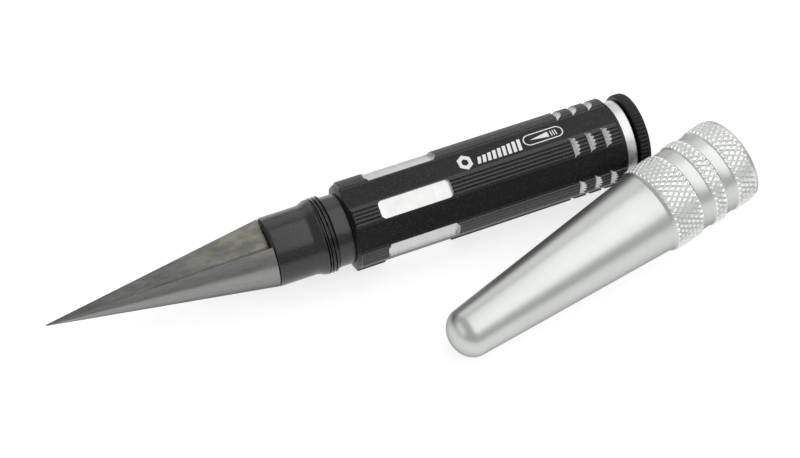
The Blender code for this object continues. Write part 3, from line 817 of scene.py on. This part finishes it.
def make_handle():
    outline = handle_section()
    rows = [inner_row(outline, HANDLE_FRONT, SPIGOT_SEAT)]
    growth = LAND_OUTSIDE - FRONT_CHAMFER_RADIUS
    for k in range(FRONT_STEPS + 1):
        t = k / FRONT_STEPS
        rows.append(bounded(outline, HANDLE_FRONT + FRONT_CHAMFER_LENGTH * t, FRONT_CHAMFER_RADIUS + growth * t))
    for k in range(REAR_STEPS + 1):
        t = k / REAR_STEPS
        station = HANDLE_REAR - REAR_ROUND_LENGTH * (1.0 - t)
        rows.append(bounded(outline, station, LAND_OUTSIDE - REAR_ROUND_DROP * t**REAR_ROUND_POWER))
    bores = (
        (HANDLE_REAR, SLEEVE_SEAT),
        (SLEEVE_SEAT_FRONT, SLEEVE_SEAT),
        (SLEEVE_SEAT_FRONT, HANDLE_BORE),
        (SPIGOT_SEAT_REAR, HANDLE_BORE),
        (SPIGOT_SEAT_REAR, SPIGOT_SEAT),
    )
    rows += [inner_row(outline, station, radius) for station, radius in bores]
    mesh = grid(rows, wrap_rows=True)
    for face in mesh.faces:
        on_land = face.calc_center_median().xy.length > LAND_FACES_FROM
        if on_land and abs(face.normal.z) < LAND_FACES_SLOPE:
            face.material_index = 1
    black = black_anodised("black_anodised_handle")
    # The ribbed lands get a lighter copy: their lifted dust is partly real dust and partly a painted highlight on
    # the ribs.
    ribs = black_anodised("black_anodised_ribs", 0.24, dust_and_sheen=1.3, bend=1.55)
    bare = machined_aluminium("machined_slots")
    item = raw_object("handle_detail", mesh, black, ribs)
    cutters = [slot_cutters(bare), raw_object("screw_hole", screw_rod(), bare)]
    cutters += [notch_cutters(wall, bare) for wall in NOTCH_WALLS]
    applied(item, [("DIFFERENCE", cutter) for cutter in cutters])
    adopt(item, "tool", ["handle"], sharp=28.0)


def screw_rod():
    """A rod that points down from the tool's axis where the set screw sits."""
    outline = [
        (SCREW_HOLE_TOP, 0.0),
        (SCREW_HOLE_TOP, SCREW_HOLE),
        (SCREW_HOLE_REACH, SCREW_HOLE),
        (SCREW_HOLE_REACH, 0.0),
    ]
    mesh = lathe_solid(outline, 32)
    bmesh.ops.rotate(mesh, verts=mesh.verts, matrix=Matrix.Rotation(radians(-90.0), 3, "Y"))
    bmesh.ops.translate(mesh, verts=mesh.verts, vec=(0.0, 0.0, SCREW_STATION))
    return mesh


def slot_rim():
    """The slot's outline with round corners, as (across, station) points."""
    middle, reach = (SLOT_FRONT + SLOT_REAR) / 2.0, (SLOT_REAR - SLOT_FRONT) / 2.0
    rim = []
    for along, across, start in ((1, 1, 0), (-1, 1, 90), (-1, -1, 180), (1, -1, 270)):
        for step in range(CORNER_STEPS + 1):
            angle = radians(start + 90.0 * step / CORNER_STEPS)
            station = middle + along * (reach - SLOT_CORNER) + SLOT_CORNER * cos(angle)
            rim.append((across * (SLOT_HALF - SLOT_CORNER) + SLOT_CORNER * sin(angle), station))
    return rim


def slot_cutters(material):
    """A rounded end mill's slot on each land."""
    whole = bmesh.new()
    for degrees in LAND_TURNS:
        turn = Matrix.Rotation(radians(degrees), 3, "Z")
        rims = []
        for level in (SLOT_LEVEL, SLOT_LEVEL + SLOT_REACH):
            rims.append([whole.verts.new(turn @ Vector((level, side, station))) for side, station in slot_rim()])
        skin(whole, rims)
    return raw_object("slots", whole, material)


def notch_cutters(wall, material):
    """A hollow-bottomed cut on each land: a steep front wall and a ramp that runs out to the rear."""
    climb = (LAND_RADIUS - NOTCH_LEVEL) / NOTCH_LENGTH
    whole = bmesh.new()
    for degrees in LAND_TURNS:
        turn = Matrix.Rotation(radians(degrees), 3, "Z")
        rims = []
        for run in (0.0, NOTCH_REACH):
            points = [(NOTCH_TOP, -NOTCH_WIDTH)]
            for step in range(NOTCH_STEPS + 1):
                side = NOTCH_WIDTH * (2.0 * step / NOTCH_STEPS - 1.0)
                sag = NOTCH_HOLLOW - sqrt(NOTCH_HOLLOW**2 - side**2)
                points.append((NOTCH_LEVEL + sag + climb * run, side))
            points.append((NOTCH_TOP, NOTCH_WIDTH))
            rims.append([whole.verts.new(turn @ Vector((out, side, wall + run))) for out, side in points])
        skin(whole, rims)
    return raw_object("notches", whole, material)


def make_band():
    outline = [
        (SLEEVE_FRONT, BEARING_SEAT, 0.0),
        (SLEEVE_FRONT, SLEEVE_RADIUS, 0.3 * MM),
        (BAND_FRONT, SLEEVE_RADIUS, 0.0),
        (BAND_FRONT, BAND_RADIUS, 0.1 * MM),
        (BAND_REAR, BAND_RADIUS, 0.3 * MM),
        (BAND_REAR, SLEEVE_MOUTH, 0.1 * MM),
        (BEARING_STOP, SLEEVE_MOUTH, 0.0),
        (BEARING_STOP, BEARING_SEAT, 0.0),
        (RING_GROOVE_REAR, BEARING_SEAT, 0.0),
        (RING_GROOVE_REAR, RING_GROOVE, 0.0),
        (RING_GROOVE_FRONT, RING_GROOVE, 0.0),
        (RING_GROOVE_FRONT, BEARING_SEAT, 0.0),
    ]
    mesh = grid(turned(rounded(outline, closed=True), SLEEVE_STEPS), wrap_rows=True)
    bright = machined_aluminium("turned_band", rings=True)
    finish_piece("bearing_sleeve_detail", mesh, TOOL_FRAME, "tool", ["bearing_sleeve"], [bright])


def make_disc():
    """The knurled disc: straight teeth that die out in the rounded rims."""
    drops = [TOOTH_DEPTH * drop for drop in TOOTH_DROPS] * DISC_TEETH
    outline = [
        (DISC_FRONT, DISC_BORE, 0.0),
        (DISC_FRONT, DISC_RADIUS, 0.5 * MM),
        (DISC_REAR, DISC_RADIUS, 1.1 * MM),
        (DISC_REAR, DISH_RADIUS, 0.0),
        (DISC_REAR - DISH_DEPTH, DISH_FLOOR, 0.0),
        (DISC_REAR - DISH_DEPTH, DISC_CENTRE, 0.0),
    ]
    rows = turned([(DISC_BORE_END, DISC_BORE), (DISC_FRONT, DISC_BORE)], len(drops))
    for station, radius in rounded(outline, steps=7)[1:]:
        share = max(0.0, 1.0 - max(0.0, DISC_RADIUS - radius) / TOOTH_FADE)
        rows.append(ring(station, [radius - drop * share for drop in drops]))
    black = black_anodised("black_anodised_disc", 0.36, (500.0, 500.0, 500.0))
    mesh = grid(rows, cap_front=True, cap_rear=True)
    finish_piece("swivel_disc_detail", mesh, TOOL_FRAME, "swivel", ["swivel_disc"], [black],
                 sharp=40.0)


# ---------------------------------------------------------------- the cap


def knurl_height(column, row):
    """Truncated diamonds in a chequer: 1 on a diamond's top, 0 along the two sets of grooves."""
    x = column % KNURL_CELL / KNURL_CELL
    y = row % KNURL_CELL / KNURL_CELL
    nearest = min(abs(x - a) + abs(y - b) for a, b in ((0, 0), (1, 0), (0, 1), (1, 1), (0.5, 0.5)))
    return min(1.0, max(0.0, (0.5 - nearest) / KNURL_SLOPE))


def knurled_band(start, end, sink_front, sink_rear):
    """Rows of (points, knurl row number) between two stations; the ends sink into plain chamfers."""
    count = int(round((end - start) / (KNURL_PITCH / KNURL_CELL)))
    sinks = {0: sink_front, count: sink_rear}
    rows = []
    for j in range(count + 1):
        radii = [BAND - KNURL_DEPTH * (1.0 - knurl_height(k, j)) for k in range(CAP_STEPS)]
        if j in sinks:
            radii = [min(radius, BAND - sinks[j]) for radius in radii]
        rows.append((ring(start + (end - start) * j / count, radii), j))
    return rows


def plain_rows(points):
    """Rows without a knurl for (station, radius) points."""
    return [(row, None) for row in turned(points, CAP_STEPS)]


def plain_groove(front, rear):
    """The smooth groove between two knurled bands."""
    low = BAND - GROOVE_DROP
    floor = low - GROOVE_FLOOR_DROP
    return plain_rows([
        (front + 0.15 * MM, low),
        (front + 0.3 * MM, floor),
        (rear - 0.3 * MM, floor),
        (rear - 0.2 * MM, low),
    ])


def cap_mesh(rows):
    """Skin the cap; in the knurled bands each cell splits along its own groove."""
    mesh = bmesh.new()
    rings = [([mesh.verts.new(point) for point in row], number) for row, number in rows]
    for (first, a), (second, b) in zip(rings, rings[1:]):
        for k in range(CAP_STEPS):
            after = (k + 1) % CAP_STEPS
            corners = (first[k], first[after], second[after], second[k])
            if a is None or b is None:
                mesh.faces.new(corners)
                continue
            x, y = (k % KNURL_CELL + 0.5) / KNURL_CELL, (a % KNURL_CELL + 0.5) / KNURL_CELL
            if (x < 0.5) == (y < 0.5):
                halves = ((0, 1, 3), (1, 2, 3))
            else:
                halves = ((0, 1, 2), (0, 2, 3))
            for half in halves:
                mesh.faces.new([corners[number] for number in half]).material_index = 1
    mesh.faces.new(rings[0][0])
    mesh.faces.new(rings[-1][0])
    return mesh


def cap_nose():
    """The round nose and the long taper, as (station, radius) points."""
    points = []
    for step in range(NOSE_STEPS + 1):
        turn = radians(NOSE_FIRST + (90.0 - NOSE_FIRST) * step / NOSE_STEPS)
        points.append((NOSE_LENGTH * (1.0 - cos(turn)), NOSE_RADIUS_MM * MM * sin(turn)))
    for k in range(1, CAP_TAPER_STEPS):
        radius = (NOSE_RADIUS_MM + CAP_TAPER_GROWTH_MM * k / CAP_TAPER_STEPS) * MM
        points.append((NOSE_LENGTH + CAP_TAPER * k / CAP_TAPER_STEPS, radius))
    return points + list(CAP_SHOULDER)


def make_cap():
    rows = plain_rows(cap_nose())
    first, second, third = KNURLED_BANDS
    rows += knurled_band(*first) + plain_groove(first[1], second[0])
    rows += knurled_band(*second) + plain_groove(second[1], third[0])
    rows += knurled_band(*third)
    rim = [
        (third[1], BAND - 0.25 * MM, 0.0),
        (CAP_REAR, BAND - 0.4 * MM, 0.7 * MM),
        (CAP_REAR, 8.05 * MM, 0.15 * MM),
        (69.3 * MM, CAP_MOUTH, 0.0),
    ]
    rows += plain_rows(rounded(rim, steps=6)[1:])
    thread = threaded(CAP_THREAD_START, CAP_THREAD_END, CAP_MOUTH, CAP_THREAD_CREST, CAP_THREAD_PITCH, CAP_STEPS,
                      CAP_THREAD_FADE)
    rows += [(row, None) for row in reversed(thread)]
    hollow = [
        (64.9 * MM, CAP_MOUTH, 0.0),
        (64.3 * MM, 7.45 * MM, 0.2 * MM),
        (54.0 * MM, 7.45 * MM, 0.4 * MM),
        (6.0 * MM, 3.7 * MM, 0.6 * MM),
        (3.6 * MM, 1.6 * MM, 0.3 * MM),
        (3.2 * MM, 0.2 * MM, 0.0),
    ]
    rows += plain_rows(rounded(hollow))
    satin = [satin_aluminium("satin_anodised_cap"), satin_aluminium("satin_anodised_knurl", lift=1.35)]
    finish_piece("storage_cap_detail", cap_mesh(rows), CAP_FRAME, "cap", ["storage_cap"], satin,
                 sharp=24.0)


# ---------------------------------------------------------------- printed marks


def printed_rim(mesh, outline, level):
    """An outline of (station, side) in millimetres, laid at a level over the flat that faces up."""
    return [mesh.verts.new((level, side * MM, station * MM)) for station, side in outline]


def plate(mesh, outline):
    """A thin printed patch."""
    skin(mesh, [printed_rim(mesh, outline, level) for level in (INK_LOW, INK_HIGH)])


def frame_plate(mesh, outer, inner):
    """A printed outline between two rims that have the same number of points."""
    levels = ((outer, INK_LOW), (outer, INK_HIGH), (inner, INK_HIGH), (inner, INK_LOW))
    rings = [printed_rim(mesh, rim, level) for rim, level in levels]
    for first, second in zip(rings, rings[1:] + rings[:1]):
        sides(mesh, first, second)


def pill(start, end, half):
    """A stadium outline."""
    points = []
    for centre, first in ((end - half, -90.0), (start + half, 90.0)):
        for step in range(PILL_STEPS + 1):
            turn = radians(first + 180.0 * step / PILL_STEPS)
            points.append((centre + half * cos(turn), half * sin(turn)))
    return points


def hexagon(long, wide):
    corners = [radians(60.0 * k + 30.0) for k in range(6)]
    return [(HEXAGON_STATION + long * cos(turn), HEXAGON_SIDE + wide * sin(turn)) for turn in corners]


def make_marks():
    """Generic marks only: a hexagon, a row of slanted bars, and a pill with a taper sign."""
    mesh = bmesh.new()
    frame_plate(mesh, hexagon(1.6, 1.95), hexagon(0.75, 0.9))
    for k in range(BARS):
        left, head = BARS_START + BAR_PITCH * k, BAR_HEAD - BAR_GROWTH * k
        right = left + BAR_WIDTH
        plate(mesh, [(left, BAR_FOOT), (right, BAR_FOOT), (right + BAR_LEAN, head), (left + BAR_LEAN, head)])
    frame_plate(mesh, pill(100.2, 108.9, 1.42), pill(100.44, 108.66, 1.18))
    plate(mesh, [(TAPER_POINT, 0.05), (TAPER_BASE, -TAPER_HALF), (TAPER_BASE, TAPER_HALF)])
    for k in range(TICKS):
        left = TICKS_START + TICK_PITCH * k
        right = left + TICK_WIDTH
        plate(mesh, [(left, -TAPER_HALF), (right, -TAPER_HALF), (right, TAPER_HALF), (left, TAPER_HALF)])
    finish_piece("handle_marks", mesh, TOOL_FRAME, "tool", [], [white_print("white_print")])


# ---------------------------------------------------------------- pieces that stay as the frame has them


def dress(names, material):
    for name in names:
        node = frame["nodes"][name]
        node.data.materials.clear()
        node.data.materials.append(material)


def dress_hidden_pieces():
    steel = polished_steel("bearing_steel")
    dress([f"bearing_ball_{number}" for number in range(1, 8)], steel)
    dress(["bearing_outer_ring", "bearing_inner_ring", "bearing_shield_front", "bearing_shield_rear"], steel)
    dress(["spacer_washer", "pivot_screw"], polished_steel("screw_steel", (0.5, 0.5, 0.51), 0.24))
    dress(["bearing_cage"], polished_steel("cage_brass", (0.70, 0.50, 0.22), 0.3))
    dress(["retaining_ring", "shank_set_screw"], polished_steel("black_oxide_steel", (0.06, 0.06, 0.065), 0.36))


# ---------------------------------------------------------------- the studio


def make_floor():
    mesh = bmesh.new()
    bmesh.ops.create_grid(mesh, x_segments=FLOOR_CELLS, y_segments=FLOOR_CELLS, size=FLOOR_HALF)
    data = bpy.data.meshes.new("floor")
    mesh.to_mesh(data)
    mesh.free()
    item = in_scene("floor", data)
    item.location.z = -FLOOR_DROP
    data.materials.append(pale_floor("pale_floor"))


def softbox(name, direction, distance, width, height, power):
    """A rectangular light that faces the tool; its width runs along the tool."""
    light = bpy.data.lights.new(name, "AREA")
    light.shape = "RECTANGLE"
    light.size = width
    light.size_y = height
    light.energy = power
    back = direction.normalized()
    across = (ALONG - back * ALONG.dot(back)).normalized()
    up = back.cross(across)
    place = Matrix.Translation(VIEW_TARGET + back * distance)
    in_scene(name, light).matrix_world = place @ Matrix((across, up, back)).transposed().to_4x4()


def towards(lean, rear):
    """A direction that leans from straight up to the viewer's side, then towards the tool's rear."""
    across = UP * cos(radians(lean)) + ALONG.cross(UP) * sin(radians(lean))
    return across * cos(radians(rear)) + ALONG * sin(radians(rear))


def studio():
    softbox("key", towards(8.0, 24.0), distance=0.6, width=0.62, height=1.08, power=2.4)
    softbox("front_fill", towards(5.0, -62.0), distance=0.7, width=0.35, height=0.7, power=0.5)
    softbox("back_fill", towards(-60.0, 14.0), distance=0.9, width=1.3, height=0.6, power=1.4)
    world = bpy.data.worlds.new("studio")
    bpy.context.scene.world = world
    world.use_nodes = True
    tree = world.node_tree
    sky = tree.nodes["Background"]
    where = tree.nodes.new("ShaderNodeTexCoord")
    split = tree.nodes.new("ShaderNodeSeparateXYZ")
    ramp = tree.nodes.new("ShaderNodeValToRGB")
    while len(ramp.color_ramp.elements) < len(SKY_STOPS):
        ramp.color_ramp.elements.new(0.5)
    for item, (place, value) in zip(ramp.color_ramp.elements, SKY_STOPS):
        item.position = place
        item.color = (*grey(value), 1.0)
    tree.links.new(where.outputs["Generated"], split.inputs[0])
    tree.links.new(split.outputs["Z"], ramp.inputs["Fac"])
    tree.links.new(ramp.outputs["Color"], sky.inputs["Color"])
    sky.inputs["Strength"].default_value = 1.0
    bpy.context.scene.view_settings.view_transform = "Standard"


def make_camera():
    data = bpy.data.cameras.new("camera")
    data.lens = VIEW_LENS
    data.sensor_width = VIEW_SENSOR
    data.clip_start = 0.01
    item = in_scene("camera", data)
    level = cos(VIEW_DOWN)
    forward = Vector((sin(VIEW_HEADING) * level, cos(VIEW_HEADING) * level, -sin(VIEW_DOWN)))
    item.location = VIEW_TARGET - forward * VIEW_DISTANCE
    item.rotation_mode = "QUATERNION"
    item.rotation_quaternion = forward.to_track_quat("-Z", "Y")
    bpy.context.scene.camera = item


make_camera()
make_floor()
studio()
make_blade()
make_collar()
make_handle()
make_band()
make_disc()
make_cap()
make_marks()
dress_hidden_pieces()
